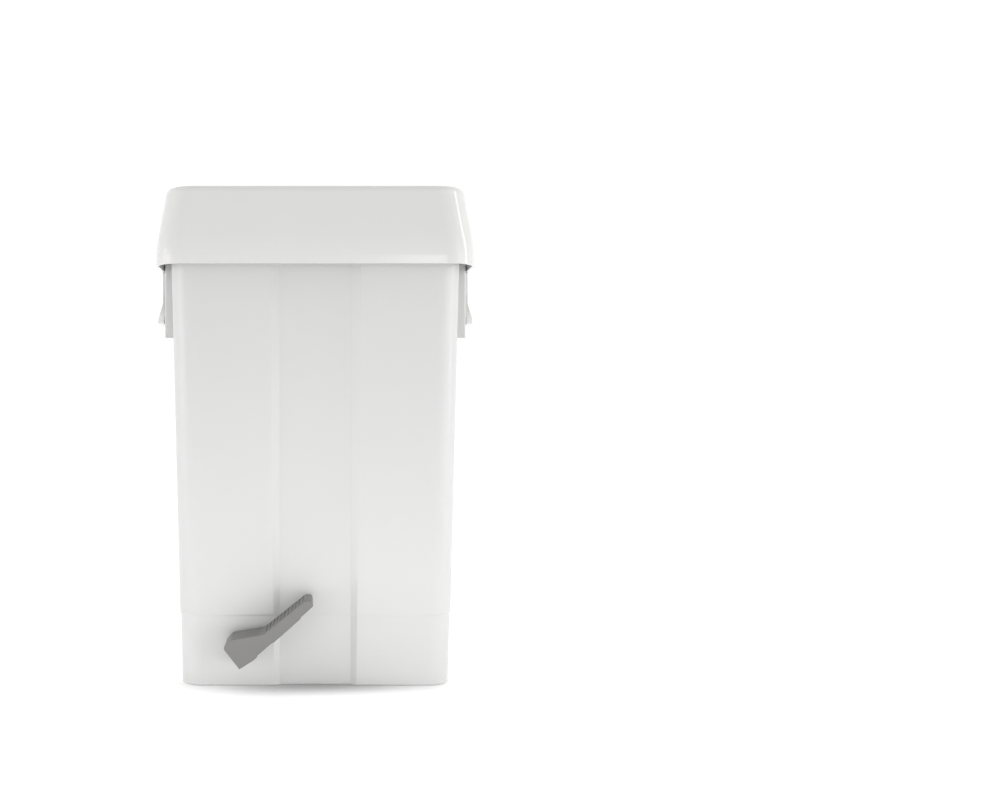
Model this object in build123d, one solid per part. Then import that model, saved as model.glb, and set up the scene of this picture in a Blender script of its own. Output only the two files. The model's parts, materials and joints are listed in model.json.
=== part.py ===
from build123d import *
import os
from math import acos, cos, degrees, radians, sin, tan

# A household pedal bin of about 15 litres, in millimetres.
# Frame: +Z up, the floor at Z = 0, the bin's middle at X = Y = 0, the front (pedal side) towards -Y.
# A shaft along Y under the raised floor joins the front pedal to a rear crank. The crank pulls a
# push rod down behind the bin, and the rod pulls down the rear arm of the flap, which opens.

# ---- bin body ----
WALL = 2.4
FLOOR_Z = 65.0
FLOOR_THICK = 2.5
RIM_Z = 436.0
BASE_HALF = ((124.6, 92.3), (126.2, 93.2))
BODY_HALF = ((127.1, 93.7), (135.4, 100.7))
CORNER = 20.0
EDGE_BREAK = 1.4
PANEL_HALF = 33.0
PANEL_BEVEL = (5.0, 9.5)
PANEL_DEPTH = 3.7
THROUGH = (-150.0, 150.0)

# ---- latch frames on the body's sides ----
BOSS_X = 144.9
BOSS_HALF_Y = 46.0
BOSS_LEG = 7.5
BOSS_LOW_Z = 325.0
BOSS_BAND_Z = 368.5
BOSS_TOP_Z = 396.0
BOSS_ROUND = 10.0
TOOTH = (3.1, 5.5, 6.2)
TOOTH_LOW_Z = 367.3

# ---- hood (the fixed part of the lid) ----
HOOD_Z = 389.4
BEND_Z = 406.4
TOP_Z = 462.5
HOOD_HALF_X = (148.5, 148.2, 139.0)
HOOD_FRONT_Y = (-111.3, -111.0, -102.5)
HOOD_REAR_Y = (116.2, 116.0, 112.5)
HOOD_CORNER = 28.0
TOP_ROUND = 6.5
MOUTH_Y = (-53.0, 101.0)
MOUTH_HALF_X = 120.0
MOUTH_CORNER = 14.0
LEDGE_Z = 449.2
LEDGE = (5.5, 5.5, 2.2)
LEDGE_RELIEF = (88.0, 1.2)
RIB_SPOTS = (70.0, 55.0)
RIB_THICK = 2.0

# ---- flap ----
PIVOT_Y = 94.5
PIVOT_Z = 448.0
FLAP_Z = (449.5, 452.5)
FLAP_HALF_X = 117.5
FLAP_Y = (-50.8, 98.0)
FLAP_CORNER = 12.0
CHEEK_X = 113.0
CHEEK_THICK = 2.6
CHEEK_RADIUS = 132.5
CHEEK_ANGLE = 75.0
HINGE_PIN_R = 2.2
RUNNING_GAP = 0.05
FLAP_OPEN = 67.2

# ---- latch tabs ----
TAB_THICK = 2.4
TAB_HALF_Y = 31.5
TAB_LOW_Z = 339.0
TAB_CORNER = 13.0
TAB_LIP_Z = 359.0
TAB_LIP_X = 154.0
TAB_SEAM = 0.3
WINDOW = (6.5, 8.0)
WINDOW_Z = 370.5
WINDOW_HALF_SPACING = 16.0

# ---- pedal shaft and crank ----
SHAFT_X = -60.0
SHAFT_Z = 39.0
SHAFT_R = 4.0
PEDAL_TRAVEL = 48.0
PEDAL_REST = 41.3
PEDAL_Y = (-136.5, -96.7)
PEDAL_TOP = [(-15.3, -5.8), (-14.1, 18.0), (-4.1, 19.4), (21.0, 3.6), (69.0, 1.5), (73.4, -2.4)]
PEDAL_ROUNDS = (3.0, 4.0, 10.0, 4.0, 2.0)
PEDAL_UNDER = [
    (71.2, -6.9), (57.0, -7.2), (54.5, -8.1), (24.0, -8.1),
    (21.0, -7.3), (5.0, -7.1), (3.2, -8.0), (-0.8, -8.0),
]
TREAD_COUNT = 11
TREAD_PITCH = 4.2
TREAD_START = 24.5
TREAD_DEPTH = 0.8
BUSH_R = 7.0
BUSH_FLANGE = (10.5, 2.0)
PAD_Y = 94.2
HOUSING_DEPTH = 14.0
CRANK_LENGTH = 73.9
CRANK_REST = 29.5
CRANK_HEIGHT = 16.5
CRANK_Y = (96.7, 100.7)
FORK_Y = (133.6, 136.0)
FORK_WEB = 19.0
CRANK_PIN_R = 2.5

# ---- lift arm and push rod ----
LEVER_X = 9.1
ARM_LENGTH = 55.0
ARM_REST = 23.0
ARM_THICK = 5.0
ARM_SCREW_Y = 71.0
ARM_FOOT_Z = (FLAP_Z[0] - 7.0, FLAP_Z[0] - 4.0)
ARM_SCREW_XS = (LEVER_X - 11.5, LEVER_X + 11.5)
ROD_WIDTH = 22.0
ROD_DEPTH = 14.5
ROD_WALL = 2.0
ROD_HEAD = 13.0
ROD_FOOT = 9.0
ROD_FOOT_Y = (111.5, 120.5)
ROD_PIN_R = 2.0


def swung(start, z, length, rest, turned_by):
    """The end of an arm that has turned down by an angle from its rest angle."""
    angle = radians(rest - turned_by)
    return start + length * cos(angle), z + length * sin(angle)


def crank_pin_at(press):
    return swung(SHAFT_X, SHAFT_Z, CRANK_LENGTH, CRANK_REST, press)


def arm_pin_at(opened):
    return swung(PIVOT_Y, PIVOT_Z, ARM_LENGTH, ARM_REST, opened)


def rod_line(opened, press, foot_y):
    """The rod's lean from upright and its pin-to-pin length, from its two ends."""
    pin_y, pin_z = arm_pin_at(opened)
    drop, shift = pin_z - crank_pin_at(press)[1], pin_y - foot_y
    length = (drop**2 + shift**2) ** 0.5
    return degrees(acos(drop / length)), length


ARM_PIN_Y, ARM_PIN_Z = arm_pin_at(0)
TILT_SHUT, ROD_LENGTH = rod_line(0, 0, ROD_FOOT_Y[0])
TILT_OPEN = rod_line(FLAP_OPEN, PEDAL_TRAVEL, ROD_FOOT_Y[1])[0]


def foot_gap_at(share):
    """How far above its rest place in the rod's foot the crank pin sits, at a share of the travel."""
    tilt = radians(TILT_SHUT + (TILT_OPEN - TILT_SHUT) * share)
    drop = arm_pin_at(FLAP_OPEN * share)[1] - crank_pin_at(PEDAL_TRAVEL * share)[1]
    return ROD_LENGTH - drop / cos(tilt)


FOOT_GAPS = [foot_gap_at(k / 24) for k in range(25)]
PIN_XS = [crank_pin_at(PEDAL_TRAVEL * k / 24)[0] for k in range(25)]


def box(x, y, z):
    """A box from its two X, two Y and two Z values."""
    size = [abs(pair[1] - pair[0]) for pair in (x, y, z)]
    middle = [(pair[0] + pair[1]) / 2 for pair in (x, y, z)]
    return Pos(*middle) * Box(*size)


def cylinder_y(x, z, radius, y):
    return Pos(x, (y[0] + y[1]) / 2, z) * Rot(90, 0, 0) * Cylinder(radius, abs(y[1] - y[0]))


def cylinder_x(y, z, radius, x):
    return Pos((x[0] + x[1]) / 2, y, z) * Rot(0, 90, 0) * Cylinder(radius, abs(x[1] - x[0]))


def prism_yz(sketch, x):
    """Extrudes a sketch drawn in the model's Y and Z between two X values."""
    plane = Plane(origin=(min(x), 0, 0), x_dir=(0, 1, 0), z_dir=(1, 0, 0))
    return extrude(plane * sketch, amount=abs(x[1] - x[0]), dir=plane.z_dir)


def prism_xz(sketch, y):
    """Extrudes a sketch drawn in the model's X and Z between two Y values."""
    plane = Plane(origin=(0, max(y), 0), x_dir=(1, 0, 0), z_dir=(0, -1, 0))
    return extrude(plane * sketch, amount=abs(y[1] - y[0]), dir=plane.z_dir)


def polygon(points):
    return Polygon(*points, align=None)


def mirror_x(shape):
    return mirror(shape, about=Plane.YZ)


def lerp(pair, share):
    return pair[0] + (pair[1] - pair[0]) * share


# ---- bin body ----
def body_half(z):
    share = (z - FLOOR_Z) / (RIM_Z - FLOOR_Z)
    return tuple(lerp(pair, share) for pair in zip(*BODY_HALF))


def base_half(z):
    return tuple(lerp(pair, z / FLOOR_Z) for pair in zip(*BASE_HALF))


def panelled(half, z, inset=0.0):
    """A rounded rectangle at a height, with a shallow recess in the middle of each side."""
    half_x, half_y = half[0] - inset, half[1] - inset
    shape = RectangleRounded(2 * half_x, 2 * half_y, CORNER - inset)
    bevel = lerp(PANEL_BEVEL, z / RIM_Z)
    floor_half = PANEL_HALF + 0.3 * inset
    for turn, reach in ((0, half_y), (90, half_x), (180, half_y), (270, half_x)):
        low, far = reach - PANEL_DEPTH, reach + PANEL_DEPTH
        spread = floor_half + 2 * bevel
        recess = polygon([(-floor_half, low), (floor_half, low), (spread, far), (-spread, far)])
        shape -= Rot(0, 0, turn) * recess
    return Pos(0, 0, z) * shape


def tapered(low, high, inset=0.0):
    """A straight-sided solid between two panelled outlines, each given as (half sizes, height)."""
    return loft([panelled(*low, inset), panelled(*high, inset)], ruled=True)


def latch_frame():
    """The raised inverted U on the +X side that the latch tab snaps over, with its two teeth."""
    inner_x = body_half(BOSS_LOW_Z)[0] - PANEL_DEPTH - 1
    outer = box((inner_x, BOSS_X), (-BOSS_HALF_Y, BOSS_HALF_Y), (BOSS_LOW_Z, BOSS_TOP_Z))
    outer = fillet(outer.edges().filter_by(Axis.Z).group_by(Axis.X)[-1], 1.5)
    leg_y = BOSS_HALF_Y - BOSS_LEG
    gate = RectangleRounded(2 * leg_y, 2 * (BOSS_BAND_Z - BOSS_LOW_Z), BOSS_ROUND)
    frame = outer - prism_yz(Pos(0, BOSS_LOW_Z) * gate, (inner_x - 1, BOSS_X + 1))
    pocket_x = (body_half(BOSS_TOP_Z)[0] - 1, BOSS_X - WALL)
    frame -= box(pocket_x, (-leg_y, leg_y), (BOSS_BAND_Z + WALL + 5, BOSS_TOP_Z + 1))
    deep, wide, tall = TOOTH
    low, high = TOOTH_LOW_Z, TOOTH_LOW_Z + tall
    tip = BOSS_X + deep
    wedge = polygon([(BOSS_X - 3, low), (tip, low), (tip, low + 2.2), (BOSS_X, high), (BOSS_X - 3, high)])
    for middle in (-WINDOW_HALF_SPACING, WINDOW_HALF_SPACING):
        frame += prism_xz(wedge, (middle - wide / 2, middle + wide / 2))
    return frame


def bin_body():
    step_z = FLOOR_Z + EDGE_BREAK
    break_half = tuple(value - EDGE_BREAK for value in base_half(0))
    edge = (base_half(EDGE_BREAK), EDGE_BREAK)
    base_top = (base_half(FLOOR_Z), FLOOR_Z)
    step = (body_half(step_z), step_z)
    rim = (body_half(RIM_Z), RIM_Z)
    shell = tapered((break_half, 0), edge)
    for low, high in ((edge, base_top), (base_top, step), (step, rim)):
        shell += tapered(low, high)
    frame = latch_frame()
    shell = shell + frame + mirror_x(frame)
    for side in (-1, 1):
        ends = (side * (base_half(SHAFT_Z)[1] - 6), side * PAD_Y)
        shell += cylinder_y(SHAFT_X, SHAFT_Z, BUSH_FLANGE[0] + 1.5, ends)
    shell -= tapered((body_half(FLOOR_Z), FLOOR_Z), (body_half(RIM_Z + 5), RIM_Z + 5), WALL)
    ceiling = FLOOR_Z - FLOOR_THICK
    shell -= tapered((base_half(-2), -2), (base_half(ceiling), ceiling), WALL)
    for side in (-1, 1):
        face = base_half(SHAFT_Z)[1] - WALL / 2
        ends = (side * face, side * (PAD_Y - HOUSING_DEPTH))
        shell += cylinder_y(SHAFT_X, SHAFT_Z, BUSH_R + 2.2, ends)
    shell -= cylinder_y(SHAFT_X, SHAFT_Z, BUSH_R, THROUGH)
    notch = 7.0
    return shell - box((LEVER_X - notch, LEVER_X + notch), (80, 110), (RIM_Z - 7, RIM_Z + 5))


# ---- hood ----
def hood_outline(z, inset=0.0):
    """The hood's outline at a height: an upright band that turns softly into a sloping crown."""
    sides = (HOOD_HALF_X, HOOD_FRONT_Y, HOOD_REAR_Y)
    if z <= BEND_Z:
        share, first = (z - HOOD_Z) / (BEND_Z - HOOD_Z), 0
    else:
        share, first = (z - BEND_Z) / (TOP_Z - BEND_Z), 1
    half_x, front, rear = (lerp(side[first:first + 2], share) for side in sides)
    inset += max(0.0, 1 - abs(z - BEND_Z) / 9) * 0.35
    shape = RectangleRounded(2 * (half_x - inset), rear - front - 2 * inset, HOOD_CORNER - inset)
    return Pos(0, (front + rear) / 2, z) * shape


def hood_solid(inset, low_z, high_z):
    """The hood's outer shape or, with an inset, its hollow."""
    heights = [low_z, BEND_Z - 9, BEND_Z - 3, BEND_Z + 3, BEND_Z + 9, high_z]
    solid = loft([hood_outline(z, inset) for z in heights], ruled=True)
    return fillet(solid.edges().group_by(Axis.Z)[-1], TOP_ROUND - inset)


def mouth(grow, low_z, high_z):
    """The flap's seat in the hood's top, as a block."""
    front, rear = MOUTH_Y[0] - grow, MOUTH_Y[1] + grow
    shape = RectangleRounded(2 * (MOUTH_HALF_X + grow), rear - front, MOUTH_CORNER + grow)
    return Pos(0, (front + rear) / 2, low_z) * extrude(shape, amount=high_z - low_z)


def hood_ear():
    """The ear beside the flap's +X cheek that the hinge pin turns in."""
    low, high = CHEEK_X + 1.5, CHEEK_X + 5.5
    ear = cylinder_x(PIVOT_Y, PIVOT_Z, 5.0, (low, high)) & box((low, high), (0, 120), (0, LEDGE_Z))
    ear += box((low, high), (PIVOT_Y, MOUTH_Y[1] + 1), (PIVOT_Z - 5, LEDGE_Z))
    bridge_low_z = LEDGE_Z - LEDGE_RELIEF[1] - 2
    return ear + box((low, MOUTH_HALF_X + 1), (PIVOT_Y - 5, MOUTH_Y[1] + 1), (bridge_low_z, LEDGE_Z))


def hood_ribs():
    """Ribs under the deck that rest on the body's rim, each with a tongue inside the wall."""
    ribs = []
    half_x, half_y = body_half(RIM_Z)
    tongue, base = (RIM_Z - 9, RIM_Z + 1), (RIM_Z, TOP_Z - 1)
    for side in (-1, 1):
        for spot in (-1, 1):
            x, y = spot * RIB_SPOTS[0], spot * RIB_SPOTS[1]
            across_x = (x - RIB_THICK / 2, x + RIB_THICK / 2)
            across_y = (y - RIB_THICK / 2, y + RIB_THICK / 2)
            ribs.append(box(across_x, (side * (half_y - 9), side * 120), base))
            ribs.append(box(across_x, (side * (half_y - 9), side * (half_y - WALL - 0.5)), tongue))
            ribs.append(box((side * (half_x - 9), side * 150), across_y, base))
            ribs.append(box((side * (half_x - 9), side * (half_x - WALL - 0.5)), across_y, tongue))
    return ribs


def lid_hood():
    outside = hood_solid(0, HOOD_Z, TOP_Z)
    shell = outside - hood_solid(WALL, HOOD_Z - 1, TOP_Z - WALL)
    side_lip, front_lip, thick = LEDGE
    limit = hood_solid(WALL / 2, HOOD_Z - 1, TOP_Z - WALL / 2)
    for rib in hood_ribs():
        shell += rib & limit
    shell += mouth(thick, LEDGE_Z - thick, TOP_Z - 1)
    shell -= mouth(0, LEDGE_Z, TOP_Z + 5)
    inner_x = MOUTH_HALF_X - side_lip
    shell -= box((-inner_x, inner_x), (MOUTH_Y[0] + front_lip, MOUTH_Y[1]), (LEDGE_Z - 8, LEDGE_Z + 1))
    shell = shell + hood_ear() + mirror_x(hood_ear())
    relief_y, relief = LEDGE_RELIEF
    mouth_x = (-MOUTH_HALF_X, MOUTH_HALF_X)
    shell -= box(mouth_x, (relief_y, MOUTH_Y[1]), (LEDGE_Z - relief, TOP_Z + 1))
    slot = (LEVER_X - ARM_THICK / 2 - 2, LEVER_X + ARM_THICK / 2 + 2)
    shell -= box(slot, (MOUTH_Y[1] - 3, HOOD_REAR_Y[0] + 5), (417, TOP_Z + 5))
    reach = CHEEK_X + 12
    return shell - cylinder_x(PIVOT_Y, PIVOT_Z, HINGE_PIN_R + RUNNING_GAP, (-reach, reach))


# ---- flap ----
def cheek():
    """The +X cheek: a sector about the hinge that closes the gap beside the open flap."""
    top = FLAP_Z[0] + 1
    slope = radians(180 + CHEEK_ANGLE)
    reach = 2 * CHEEK_RADIUS
    wedge = polygon([
        (PIVOT_Y, PIVOT_Z - 4),
        (PIVOT_Y + 3, top),
        (PIVOT_Y - reach, top),
        (PIVOT_Y - reach, PIVOT_Z - reach),
        (PIVOT_Y + reach * cos(slope), PIVOT_Z + reach * sin(slope)),
    ])
    sector = (Pos(PIVOT_Y, PIVOT_Z) * Circle(CHEEK_RADIUS)) & wedge
    inner_x = CHEEK_X - CHEEK_THICK
    side = prism_yz(sector, (inner_x, CHEEK_X))
    boss = cylinder_x(PIVOT_Y, PIVOT_Z, 5.2, (inner_x - 3, CHEEK_X))
    return side + (boss & box((0, 200), (0, 200), (0, FLAP_Z[1])))


def flap():
    low, high = FLAP_Z
    middle, length = (FLAP_Y[0] + FLAP_Y[1]) / 2, FLAP_Y[1] - FLAP_Y[0]
    outline = RectangleRounded(2 * FLAP_HALF_X, length, FLAP_CORNER)
    plate = Pos(0, middle, low) * extrude(outline, amount=high - low)
    plate = fillet(plate.edges().group_by(Axis.Z)[-1], 1.0)
    plate += box((-100, 100), (-46, -44.2), (low - 3, low + 1))
    plate = plate + cheek() + mirror_x(cheek())
    bore = (CHEEK_X - CHEEK_THICK - 3, CHEEK_X + 8)
    hole = cylinder_x(PIVOT_Y, PIVOT_Z, HINGE_PIN_R, bore)
    plate = plate - hole - mirror_x(hole)
    gap = ARM_THICK / 2 + 0.8
    plate -= box((LEVER_X - gap, LEVER_X + gap), (PIVOT_Y - 7, FLAP_Y[1] + 1), (low - 3, high + 1))
    for x in ARM_SCREW_XS:
        plate += Pos(x, ARM_SCREW_Y, low - 1.5) * Cylinder(4.2, 5)
        plate -= Pos(x, ARM_SCREW_Y, high - 1.2 - 5) * Cylinder(1.4, 10)
    return plate


def hinge_pin():
    return cylinder_x(PIVOT_Y, PIVOT_Z, HINGE_PIN_R, (CHEEK_X - CHEEK_THICK - 3, CHEEK_X + 5.5))


# ---- lift arm ----
def lift_arm():
    """The lever behind the flap's hinge, on a foot that is screwed up into the flap."""
    foot_y = (ARM_SCREW_Y - 6.5, ARM_SCREW_Y + 6.5)
    foot = box((LEVER_X - 17, LEVER_X + 17), foot_y, ARM_FOOT_Z)
    foot = fillet(foot.edges().filter_by(Axis.Z), 3.0)
    eye = Pos(ARM_PIN_Y, ARM_PIN_Z) * Circle(4.7)
    hub = Pos(PIVOT_Y - 2.5, PIVOT_Z - 3.7) * Circle(4.8)
    toe = Pos(ARM_SCREW_Y - 2, FLAP_Z[0] - 5.2) * Circle(4.2)
    blade = make_hull((eye + hub).edges()) + make_hull((hub + toe).edges())
    lever = prism_yz(blade, (LEVER_X - ARM_THICK / 2, LEVER_X + ARM_THICK / 2))
    lever -= cylinder_x(ARM_PIN_Y, ARM_PIN_Z, ROD_PIN_R + RUNNING_GAP, (LEVER_X - 9, LEVER_X + 9))
    arm = foot + lever
    for x in ARM_SCREW_XS:
        arm -= Pos(x, ARM_SCREW_Y, ARM_FOOT_Z[0]) * Cylinder(1.4, 10)
    return arm


def arm_screws():
    """Two pan-head screws under the lift arm's foot."""
    screws = []
    low = ARM_FOOT_Z[0]
    for x in ARM_SCREW_XS:
        head = Pos(x, ARM_SCREW_Y, low - 0.9) * Cylinder(2.9, 1.8)
        head = fillet(head.edges().group_by(Axis.Z)[0], 0.8)
        head -= Pos(x, ARM_SCREW_Y, low - 1.8) * (Box(3.2, 0.8, 1.6) + Box(0.8, 3.2, 1.6))
        screws.append(head + Pos(x, ARM_SCREW_Y, low + 3.8) * Cylinder(1.4, 8))
    return Compound(screws)


# ---- latch tab ----
def latch_tab():
    """The +X latch tab: a springy tongue below the hood, with a flared lip and two windows."""
    outer, inner = HOOD_HALF_X[0], HOOD_HALF_X[0] - TAB_THICK
    top = HOOD_Z - TAB_SEAM
    profile = polygon([
        (inner, top),
        (outer, top),
        (outer, TAB_LIP_Z),
        (TAB_LIP_X, TAB_LOW_Z + 2.4),
        (TAB_LIP_X - 1.6, TAB_LOW_Z - 2),
        (inner + 3, TAB_LOW_Z - 2),
        (inner, TAB_LIP_Z - 8),
    ])
    profile = fillet([v for v in profile.vertices() if abs(v.Y - TAB_LIP_Z) < 0.1], 12.0)
    bar = prism_xz(profile, (-TAB_HALF_Y, TAB_HALF_Y))
    high = 2 * TAB_CORNER + HOOD_Z - TAB_LOW_Z
    face = Rectangle(2 * TAB_HALF_Y, high)
    face = Pos(0, TAB_LOW_Z + high / 2) * fillet(face.vertices().group_by(Axis.Y)[0], TAB_CORNER)
    belly = Pos(0, TAB_LOW_Z + 200) * Circle(200)
    bar &= prism_yz(face & belly, (inner - 5, TAB_LIP_X + 5))
    wide, tall = WINDOW
    for middle in (-WINDOW_HALF_SPACING, WINDOW_HALF_SPACING):
        across = (middle - wide / 2, middle + wide / 2)
        bar -= box((inner - 1, outer + 1), across, (WINDOW_Z - tall / 2, WINDOW_Z + tall / 2))
    return bar


# ---- pedal, shaft and crank ----
def turned(rest, along, up):
    """X and Z of a point along a lever from the shaft and up from its line, at a rest angle."""
    angle = radians(rest)
    x = SHAFT_X + along * cos(angle) - up * sin(angle)
    return x, SHAFT_Z + along * sin(angle) + up * cos(angle)


def pedal_prism(points, y):
    return prism_xz(polygon([turned(PEDAL_REST, along, up) for along, up in points]), y)


def pedal():
    """The foot lever: a deep block round the shaft and a ribbed tread, hollow underneath."""
    front, back = PEDAL_Y
    block = pedal_prism(PEDAL_TOP + PEDAL_UNDER, PEDAL_Y)
    for (along, up), radius in zip(PEDAL_TOP[1:], PEDAL_ROUNDS):
        x, z = turned(PEDAL_REST, along, up)
        corner = block.edges().filter_by(Axis.Y).sort_by_distance((x, (front + back) / 2, z))[0]
        block = fillet(corner, radius)
    block = fillet(block.edges().group_by(Axis.Y)[0], 0.8)
    hollow = pedal_prism([(15, -9), (15, 3.6), (22, 0.2), (67.6, -1.4), (69, -9)], (front + 2.2, back - 2.2))
    for along in (28.0, 41.0, 54.0):
        rib = [(along - 0.8, -10), (along + 0.8, -10), (along + 0.8, 6), (along - 0.8, 6)]
        hollow -= pedal_prism(rib, PEDAL_Y)
    block -= hollow
    (heel, heel_up), (toe, toe_up) = PEDAL_TOP[3:5]
    for k in range(TREAD_COUNT):
        along = TREAD_START + TREAD_PITCH * k
        top = lerp((heel_up, toe_up), (along - heel) / (toe - heel))
        high, low = top + 0.5, top - TREAD_DEPTH
        groove = [(along - 0.9, high), (along + 0.9, high), (along + 0.5, low), (along - 0.5, low)]
        block -= pedal_prism(groove, (front + 2, back - 2))
    return block - shaft_rod(front + 4, back + 1) - lock_pin()


def shaft_rod(low, high):
    return cylinder_y(SHAFT_X, SHAFT_Z, SHAFT_R, (low, high))


def lock_pin():
    """A spring pin across the pedal's hub and the shaft."""
    middle = (PEDAL_Y[0] + PEDAL_Y[1]) / 2
    return Pos(SHAFT_X, middle, SHAFT_Z) * Rot(0, -PEDAL_REST, 0) * Pos(0, 0, 2.0) * Cylinder(1.5, 16)


def pedal_shaft():
    return shaft_rod(PEDAL_Y[0] + 4, CRANK_Y[1]) - lock_pin() - screw_shank()


def shaft_bush(side):
    """A flanged bush in the base wall: side -1 at the front, 1 at the rear."""
    radius, thick = BUSH_FLANGE
    bush = cylinder_y(SHAFT_X, SHAFT_Z, BUSH_R, (side * (PAD_Y - HOUSING_DEPTH), side * PAD_Y))
    bush += cylinder_y(SHAFT_X, SHAFT_Z, radius, (side * PAD_Y, side * (PAD_Y + thick)))
    return bush - cylinder_y(SHAFT_X, SHAFT_Z, SHAFT_R + RUNNING_GAP, THROUGH)


def shaft_clips():
    """Two snap rings on the shaft, just inside the bushes, that stop it sliding."""
    rings = []
    for side in (-1, 1):
        near = PAD_Y - HOUSING_DEPTH - 0.4
        ring = cylinder_y(SHAFT_X, SHAFT_Z, 7.0, (side * near, side * (near - 1.6)))
        ring -= cylinder_y(SHAFT_X, SHAFT_Z, SHAFT_R, THROUGH)
        rings.append(ring - box((SHAFT_X - 2.4, SHAFT_X + 2.4), THROUGH, (SHAFT_Z - 9, SHAFT_Z)))
    return Compound(rings)


def crank_bar(start, end, y, radius):
    """A bar of the crank's height between two distances from the shaft."""
    bar = Rot(0, 0, CRANK_REST) * RectangleRounded(end - start, CRANK_HEIGHT, radius)
    return prism_xz(Pos(*turned(CRANK_REST, (start + end) / 2, 0)) * bar, y)


def rear_crank():
    """The crank outside the rear wall: a plate from the shaft and a fork round the rod's foot."""
    tip, web = CRANK_LENGTH + 8.5, CRANK_LENGTH - FORK_WEB
    crank = cylinder_y(SHAFT_X, SHAFT_Z, CRANK_HEIGHT / 2 + 1.2, CRANK_Y)
    crank += crank_bar(0, tip, CRANK_Y, 4.0)
    crank += crank_bar(web - 3, web, (CRANK_Y[1] - 1, FORK_Y[1]), 1.2)
    crank += crank_bar(web - 3, tip, FORK_Y, 1.2)
    crank -= shaft_rod(CRANK_Y[0] - 1, CRANK_Y[1] + 1)
    pin_x, pin_z = crank_pin_at(0)
    return crank - cylinder_y(pin_x, pin_z, CRANK_PIN_R, (CRANK_Y[0] - 1, FORK_Y[1] + 1))


def crank_pin():
    """The headed pin across the fork that the push rod's foot hangs on."""
    pin_x, pin_z = crank_pin_at(0)
    head = cylinder_y(pin_x, pin_z, 4.2, (FORK_Y[1], FORK_Y[1] + 1.8))
    head = fillet(head.edges().group_by(Axis.Y)[-1], 0.9)
    return head + cylinder_y(pin_x, pin_z, CRANK_PIN_R, (CRANK_Y[0], FORK_Y[1]))


def screw_shank():
    return cylinder_y(SHAFT_X, SHAFT_Z, 2.0, (CRANK_Y[1] - 10, CRANK_Y[1] + 1.2))


def crank_washer():
    ring = cylinder_y(SHAFT_X, SHAFT_Z, 7.0, (CRANK_Y[1], CRANK_Y[1] + 1.2))
    return ring - screw_shank()


def crank_screw():
    """A pan-head screw that holds the crank on the shaft's end."""
    low = CRANK_Y[1] + 1.2
    head = cylinder_y(SHAFT_X, SHAFT_Z, 4.4, (low, low + 2.2))
    head = fillet(head.edges().group_by(Axis.Y)[-1], 1.0)
    cross = Box(4.4, 2, 0.9) + Box(0.9, 2, 4.4)
    return head - Pos(SHAFT_X, low + 2.2, SHAFT_Z) * cross + screw_shank()


# ---- push rod ----
def rod_frame():
    """A place at the rod's top pin whose -Z runs down the rod."""
    return Pos(LEVER_X, ARM_PIN_Y, ARM_PIN_Z) * Rot(-TILT_SHUT, 0, 0)


def push_rod():
    """A U channel, open towards the bin, whose foot has a slot for the crank pin."""
    half_w, half_d = ROD_WIDTH / 2, ROD_DEPTH / 2
    low = -ROD_LENGTH - ROD_FOOT
    bar = box((-half_w, half_w), (-half_d, half_d), (low, ROD_HEAD))
    tops = bar.edges().filter_by(Axis.X).group_by(Axis.Z)[-1].sort_by(Axis.Y)
    bar = fillet(tops[-1], 5.0)
    inside = half_w - ROD_WALL
    bar -= box((-inside, inside), (-half_d - 1, half_d - ROD_WALL), (low - 1, ROD_HEAD + 1))
    lean = ROD_WALL * tan(radians(TILT_SHUT))
    tall = max(FOOT_GAPS) - min(FOOT_GAPS) + 2 * (CRANK_PIN_R + lean + 0.4)
    wide = 2 * (max(abs(x - LEVER_X) for x in PIN_XS) + CRANK_PIN_R + 0.6)
    slot = RectangleRounded(wide, tall, 2.5)
    middle = (min(FOOT_GAPS) + max(FOOT_GAPS)) / 2 - ROD_LENGTH
    middle += (half_d - ROD_WALL / 2) * tan(radians((TILT_SHUT + TILT_OPEN) / 2))
    bar -= prism_xz(Pos(0, middle) * slot, (0, half_d + 1))
    bar -= cylinder_x(0, 0, ROD_PIN_R, (-half_w - 1, half_w + 1))
    return rod_frame() * bar


def rod_top_pin():
    half = ROD_WIDTH / 2
    pin = cylinder_x(0, 0, ROD_PIN_R, (-half - 1.6, half))
    head = cylinder_x(0, 0, ROD_PIN_R + 1.4, (half, half + 1.2))
    return rod_frame() * (pin + fillet(head.edges().group_by(Axis.X)[-1], 0.6))


def rod_top_clip():
    half = ROD_WIDTH / 2
    ring = cylinder_x(0, 0, ROD_PIN_R + 1.6, (-half - 1.0, -half - 0.1))
    ring -= cylinder_x(0, 0, ROD_PIN_R, (-half - 3, half))
    return rod_frame() * (ring - box((-half - 3, 0), (-1.2, 1.2), (-6, 0)))


NODES = {
    "bin_body": bin_body(),
    "lid_hood": lid_hood(),
    "front_shaft_bush": shaft_bush(-1),
    "rear_shaft_bush": shaft_bush(1),
    "flap": flap(),
    "right_hinge_pin": hinge_pin(),
    "left_hinge_pin": mirror_x(hinge_pin()),
    "lift_arm": lift_arm(),
    "lift_arm_screws": arm_screws(),
    "right_latch_tab": latch_tab(),
    "left_latch_tab": mirror_x(latch_tab()),
    "pedal": pedal(),
    "pedal_lock_pin": lock_pin(),
    "pedal_shaft": pedal_shaft(),
    "shaft_clips": shaft_clips(),
    "rear_crank": rear_crank(),
    "crank_pin": crank_pin(),
    "crank_washer": crank_washer(),
    "crank_screw": crank_screw(),
    "push_rod": push_rod(),
    "rod_top_pin": rod_top_pin(),
    "rod_top_clip": rod_top_clip(),
}

os.makedirs("parts", exist_ok=True)
for name, shape in NODES.items():
    export_step(shape, f"parts/{name}.step")
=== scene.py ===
import json
import math

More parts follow.
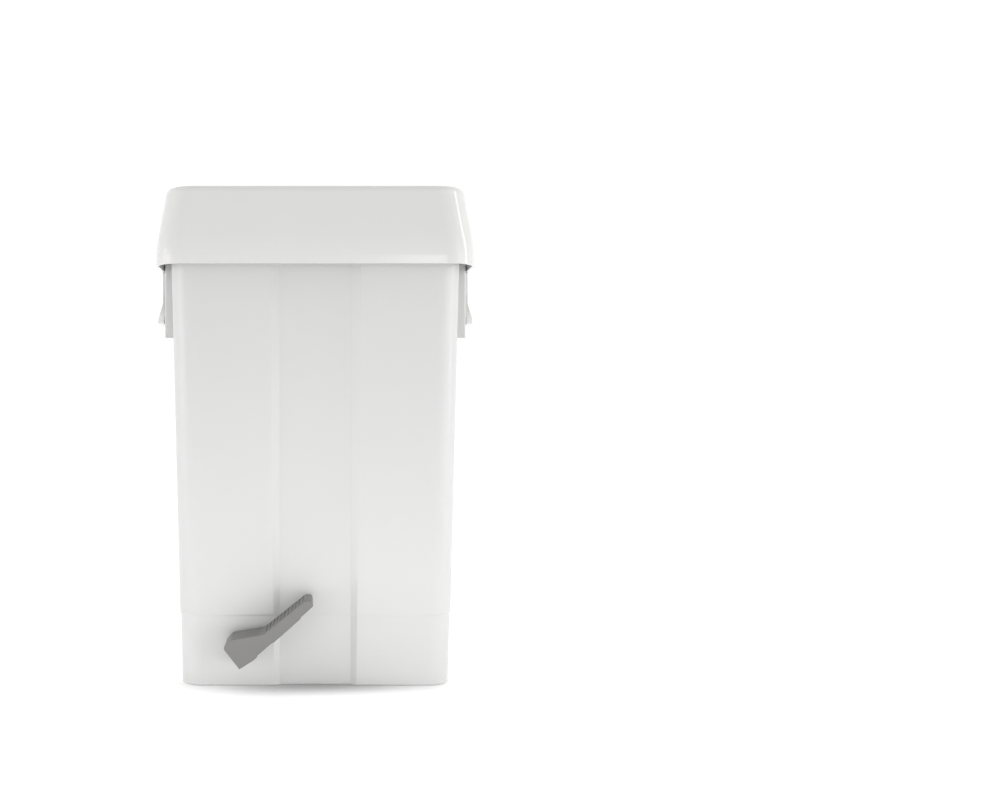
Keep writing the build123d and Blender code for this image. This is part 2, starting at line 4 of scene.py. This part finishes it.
import bmesh
import bpy
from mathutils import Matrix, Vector


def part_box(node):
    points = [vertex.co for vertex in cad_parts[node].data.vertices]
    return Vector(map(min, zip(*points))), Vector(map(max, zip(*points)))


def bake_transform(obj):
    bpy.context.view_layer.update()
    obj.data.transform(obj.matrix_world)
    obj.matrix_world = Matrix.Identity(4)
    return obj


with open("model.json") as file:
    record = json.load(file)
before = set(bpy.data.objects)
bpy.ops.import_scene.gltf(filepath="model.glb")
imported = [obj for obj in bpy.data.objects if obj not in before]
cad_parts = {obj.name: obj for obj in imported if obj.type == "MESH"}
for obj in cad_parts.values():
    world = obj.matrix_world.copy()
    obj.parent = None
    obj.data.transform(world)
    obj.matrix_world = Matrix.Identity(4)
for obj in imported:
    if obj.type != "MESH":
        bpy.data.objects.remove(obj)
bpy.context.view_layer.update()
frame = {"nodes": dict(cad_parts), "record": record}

MM = 0.001


def show(thing):
    bpy.context.scene.collection.objects.link(thing)


# ---- materials ----
# The mix node's colour sockets share their names with its number sockets, so they go by place.
MIX_SHARE, MIX_LOW, MIX_HIGH, MIX_RESULT = 0, 6, 7, 2
BEVEL_SAMPLES = 6
PLASTIC_IOR = 1.49
GREY_IOR = 1.5


class Shader:
    """A node material that is built up one node at a time."""

    def __init__(self, name):
        self.material = bpy.data.materials.new(name)
        self.material.use_nodes = True
        self.tree = self.material.node_tree
        self.tree.nodes.clear()
        self.out = self.add("ShaderNodeOutputMaterial")
        self.bsdf = self.add("ShaderNodeBsdfPrincipled")
        self.join(self.bsdf, "BSDF", self.out, "Surface")
        self.coords = self.add("ShaderNodeTexCoord")

    def add(self, kind, **settings):
        node = self.tree.nodes.new(kind)
        for key, value in settings.items():
            setattr(node, key, value)
        return node

    def join(self, source, output, target, socket):
        self.tree.links.new(source.outputs[output], target.inputs[socket])

    def stretched(self, stretch):
        """Object coordinates scaled along each axis."""
        mapping = self.add("ShaderNodeMapping")
        mapping.inputs["Scale"].default_value = stretch
        self.join(self.coords, "Object", mapping, "Vector")
        return mapping

    def noise(self, scale, detail, rough=0.5, stretch=(1, 1, 1)):
        """Cloudy noise with about as many features to a metre as its scale."""
        node = self.add("ShaderNodeTexNoise")
        node.inputs["Scale"].default_value = scale
        node.inputs["Detail"].default_value = detail
        node.inputs["Roughness"].default_value = rough
        self.join(self.stretched(stretch), "Vector", node, "Vector")
        return node

    def remap(self, source, output, low, high, from_low=0.3, from_high=0.7):
        """Turns a range of values, by default where noise mostly lies, into the range low to high."""
        node = self.add("ShaderNodeMapRange")
        node.inputs["From Min"].default_value = from_low
        node.inputs["From Max"].default_value = from_high
        node.inputs["To Min"].default_value = low
        node.inputs["To Max"].default_value = high
        self.join(source, output, node, "Value")
        return node

    def tint(self, cloud, low, high):
        """A base colour that drifts between two colours with a noise."""
        mix = self.add("ShaderNodeMix", data_type="RGBA")
        mix.inputs[MIX_LOW].default_value = (*low, 1)
        mix.inputs[MIX_HIGH].default_value = (*high, 1)
        self.join(cloud, "Fac", mix, MIX_SHARE)
        self.join(mix, MIX_RESULT, self.bsdf, "Base Color")

    def relief(self, layers, edge):
        """Rounded moulded edges, then one bump per (height node, output, strength, distance)."""
        last = self.add("ShaderNodeBevel", samples=BEVEL_SAMPLES)
        last.inputs["Radius"].default_value = edge
        for height, output, strength, distance in layers:
            bump = self.add("ShaderNodeBump")
            bump.inputs["Strength"].default_value = strength
            bump.inputs["Distance"].default_value = distance
            self.join(height, output, bump, "Height")
            self.join(last, "Normal", bump, "Normal")
            last = bump
        self.join(last, "Normal", self.bsdf, "Normal")


def white_plastic(name, color, rough, edge, ripple):
    """Moulded white polypropylene: a faint drift of tone, soft flow ripples and a fine skin."""
    shader = Shader(name)
    flow = shader.noise(9.0, 2.0, 0.5, (1, 1, 0.25))
    shader.tint(flow, color, [level * drift for level, drift in zip(color, (0.982, 0.984, 0.984))])
    cloud = shader.noise(26.0, 4.0)
    sheen = shader.remap(cloud, "Fac", rough * 0.86, rough * 1.16)
    shader.join(sheen, "Result", shader.bsdf, "Roughness")
    skin = shader.noise(2600.0, 2.0, 0.6)
    shader.relief([(flow, "Fac", 0.25, ripple), (skin, "Fac", 0.10, 0.04 * MM)], edge)
    shader.bsdf.inputs["IOR"].default_value = PLASTIC_IOR
    shader.bsdf.inputs["Subsurface Weight"].default_value = 0.06
    shader.bsdf.inputs["Subsurface Radius"].default_value = (4.0 * MM, 3.6 * MM, 3.2 * MM)
    shader.bsdf.inputs["Subsurface Scale"].default_value = 0.5
    return shader.material


def grey_plastic(name, color, rough, grain, edge=0.6 * MM):
    """Matt grey moulding with a spark-eroded grain and a slightly uneven tone."""
    shader = Shader(name)
    cloud = shader.noise(38.0, 4.0)
    shader.tint(cloud, [level * 0.94 for level in color], [level * 1.06 for level in color])
    sheen = shader.remap(cloud, "Fac", rough * 0.88, rough * 1.12)
    shader.join(sheen, "Result", shader.bsdf, "Roughness")
    fine = shader.noise(3400.0, 3.0, 0.7)
    pits = shader.add("ShaderNodeTexVoronoi")
    pits.inputs["Scale"].default_value = 1500.0
    shader.join(shader.coords, "Object", pits, "Vector")
    shader.relief([(pits, "Distance", grain, 0.08 * MM), (fine, "Fac", grain, 0.06 * MM)], edge)
    shader.bsdf.inputs["IOR"].default_value = GREY_IOR
    return shader.material


def steel(name):
    """Drawn steel with fine turning lines."""
    shader = Shader(name)
    drawn = shader.noise(900.0, 3.0, 0.6, (1, 0.06, 1))
    shader.tint(drawn, (0.50, 0.50, 0.51), (0.70, 0.70, 0.71))
    sheen = shader.remap(drawn, "Fac", 0.22, 0.42)
    shader.join(sheen, "Result", shader.bsdf, "Roughness")
    shader.bsdf.inputs["Metallic"].default_value = 1.0
    shader.relief([(drawn, "Fac", 0.15, 0.03 * MM)], 0.2 * MM)
    return shader.material


MATERIALS = {
    "body_white": white_plastic("body white", (0.62, 0.62, 0.616), 0.32, 1.1 * MM, 0.4 * MM),
    "lid_white": white_plastic("lid white", (0.69, 0.688, 0.678), 0.16, 0.9 * MM, 0.3 * MM),
    "lever_grey": grey_plastic("lever grey", (0.180, 0.178, 0.174), 0.50, 0.30),
    "rod_grey": grey_plastic("rod grey", (0.185, 0.183, 0.178), 0.46, 0.22),
    "bush_grey": grey_plastic("bush grey", (0.33, 0.33, 0.32), 0.42, 0.12),
    "pin_steel": steel("pin steel"),
}


for part in frame["record"]["subparts"]:
    slots = frame["nodes"][part["node"]].data.materials
    slots.clear()
    slots.append(MATERIALS[part["material_slot"]])


# ---- latch roots ----
ROOT_REACH = 2.0 * MM
ROOT_PROUD = 0.12 * MM
ROOT_DEPTH = 0.5 * MM
ROOT_MARGIN = 0.1 * MM
ROOT_ROWS = 9


def latch_root(name, side):
    """The bending root of a latch tab: a thin skin that runs from the hood's wall into the tab."""
    tab_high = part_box(name + "_latch_tab")[1]
    seam_z, half_y = tab_high.z, tab_high.y - ROOT_MARGIN
    wall_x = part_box("lid_hood")[1].x
    inner = wall_x - ROOT_DEPTH
    cells = bmesh.new()
    rows = []
    for k in range(ROOT_ROWS):
        share = 2 * k / (ROOT_ROWS - 1) - 1
        outer = wall_x + ROOT_PROUD * (1 - share**4)
        z = seam_z + share * ROOT_REACH
        corners = ((outer, -half_y), (outer, half_y), (inner, half_y), (inner, -half_y))
        rows.append([cells.verts.new((side * x, y, z)) for x, y in corners])
    for low, high in zip(rows, rows[1:]):
        for k in range(len(low)):
            cells.faces.new((low[k - 1], low[k], high[k], high[k - 1]))
    cells.faces.new(rows[0])
    cells.faces.new(rows[-1])
    bmesh.ops.recalc_face_normals(cells, faces=cells.faces)
    mesh = bpy.data.meshes.new(name + "_latch_root")
    cells.to_mesh(mesh)
    cells.free()
    mesh.materials.append(MATERIALS["lid_white"])
    root = bpy.data.objects.new(name + "_latch_root", mesh)
    show(root)
    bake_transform(root)


latch_root("right", 1)
latch_root("left", -1)


# ---- floor ----
FLOOR_HALF = 40.0
# Painted shadow: a soft dark pool in the floor's glow and colour, placed by position under the bin's
# front edge rather than cast by the lamps.
SHADOW_REACH = (0.180, 0.055, 1.0)
SHADOW_FRONT = 0.088
SHADOW_FADED = 0.95
FLOOR_GLOW = (0.12, 0.30)
FLOOR_WHITE = (0.36, 0.92)


def floor():
    """A pale luminous floor that stays white, with a painted soft shadow under the bin's front edge:
    its glow and colour are dimmed there by position.
    """
    half = FLOOR_HALF
    corners = [(-half, -half, 0), (half, -half, 0), (half, half, 0), (-half, half, 0)]
    mesh = bpy.data.meshes.new("floor")
    mesh.from_pydata(corners, [], [(0, 1, 2, 3)])
    ground = bpy.data.objects.new("floor", mesh)
    show(ground)
    shader = Shader("pale floor")
    away = shader.add("ShaderNodeVectorMath", operation="LENGTH")
    painted_shadow_pool = shader.stretched([1 / reach for reach in SHADOW_REACH])
    painted_shadow_pool.inputs["Location"].default_value = (0, SHADOW_FRONT / SHADOW_REACH[1], 0)
    shader.join(painted_shadow_pool, "Vector", away, 0)
    # The painted shadow dims both the floor's glow and its white smoothly towards the pool's centre.
    for socket, (dark, full) in (("Emission Strength", FLOOR_GLOW), ("Base Color", FLOOR_WHITE)):
        shade = shader.remap(away, "Value", dark, full, 0.0, SHADOW_FADED)
        shade.interpolation_type = "SMOOTHSTEP"
        shader.join(shade, "Result", shader.bsdf, socket)
    shader.bsdf.inputs["Emission Color"].default_value = (1, 1, 1, 1)
    shader.bsdf.inputs["Roughness"].default_value = 0.9
    shader.bsdf.inputs["Specular IOR Level"].default_value = 0.0
    mesh.materials.append(shader.material)


floor()


# ---- light ----
def softbox(name, bearing, distance, height, size, power):
    """A soft lamp at a bearing in degrees from the front, positive to the right, facing the bin."""
    data = bpy.data.lights.new(name, "AREA")
    data.shape = "RECTANGLE"
    data.size, data.size_y = size
    data.energy = power
    lamp = bpy.data.objects.new(name, data)
    angle = math.radians(bearing)
    lamp.location = (distance * math.sin(angle), -distance * math.cos(angle), height)
    aim = Vector((0, 0, height)) - lamp.location
    lamp.rotation_euler = aim.to_track_quat("-Z", "Y").to_euler()
    show(lamp)
    return lamp


softbox("left window", -66, 2.2, 0.42, (0.55, 0.80), 4.6)
softbox("left strip", -84, 2.2, 0.50, (0.10, 0.90), 2.0)
softbox("left front window", -28, 2.4, 0.42, (0.22, 0.70), 0.6)
softbox("right window", 62, 2.2, 0.42, (0.90, 0.80), 3.0)
softbox("right strip", 84, 2.2, 0.90, (0.22, 1.70), 8.5)
softbox("right front window", 50, 2.4, 0.85, (0.60, 1.30), 1.8)
softbox("front window", 7.5, 2.52, 0.68, (0.20, 0.28), 0.9)
fill = softbox("low fill", 0, 0.45, 0.035, (0.80, 0.04), 0.62)
fill.visible_camera = False
fill.visible_glossy = False


FRONT_GLOW = 0.36
ROOM_GLOW = 1.06


def studio():
    """A white room that is dim in front of the bin, and bright to its sides, overhead and behind."""
    world = bpy.data.worlds.new("studio")
    world.use_nodes = True
    tree = world.node_tree
    sky = tree.nodes["Background"]
    sky.inputs["Color"].default_value = (1, 1, 1, 1)
    coords = tree.nodes.new("ShaderNodeTexCoord")
    split = tree.nodes.new("ShaderNodeSeparateXYZ")
    tree.links.new(coords.outputs["Generated"], split.inputs[0])
    rise = tree.nodes.new("ShaderNodeMapRange")
    rise.interpolation_type = "SMOOTHSTEP"
    rise.inputs["From Min"].default_value = -1.0
    rise.inputs["From Max"].default_value = 0.0
    rise.inputs["To Min"].default_value = FRONT_GLOW
    rise.inputs["To Max"].default_value = ROOM_GLOW
    tree.links.new(split.outputs["Y"], rise.inputs["Value"])
    tree.links.new(rise.outputs["Result"], sky.inputs["Strength"])
    bpy.context.scene.world = world


studio()

# ---- camera ----
CAMERA_DISTANCE = 1.25
CAMERA_HEIGHT = 0.2603
lens = bpy.data.cameras.new("camera")
lens.sensor_width = 36
lens.lens = 45
lens.shift_x = 0.1847
lens.shift_y = 0.0095
lens.clip_start = 0.05
lens.clip_end = 60
camera = bpy.data.objects.new("camera", lens)
camera.location = (0, -CAMERA_DISTANCE, CAMERA_HEIGHT)
camera.rotation_euler = (math.radians(90), 0, 0)
show(camera)
bpy.context.scene.camera = camera
bpy.context.scene.view_settings.view_transform = "Standard"
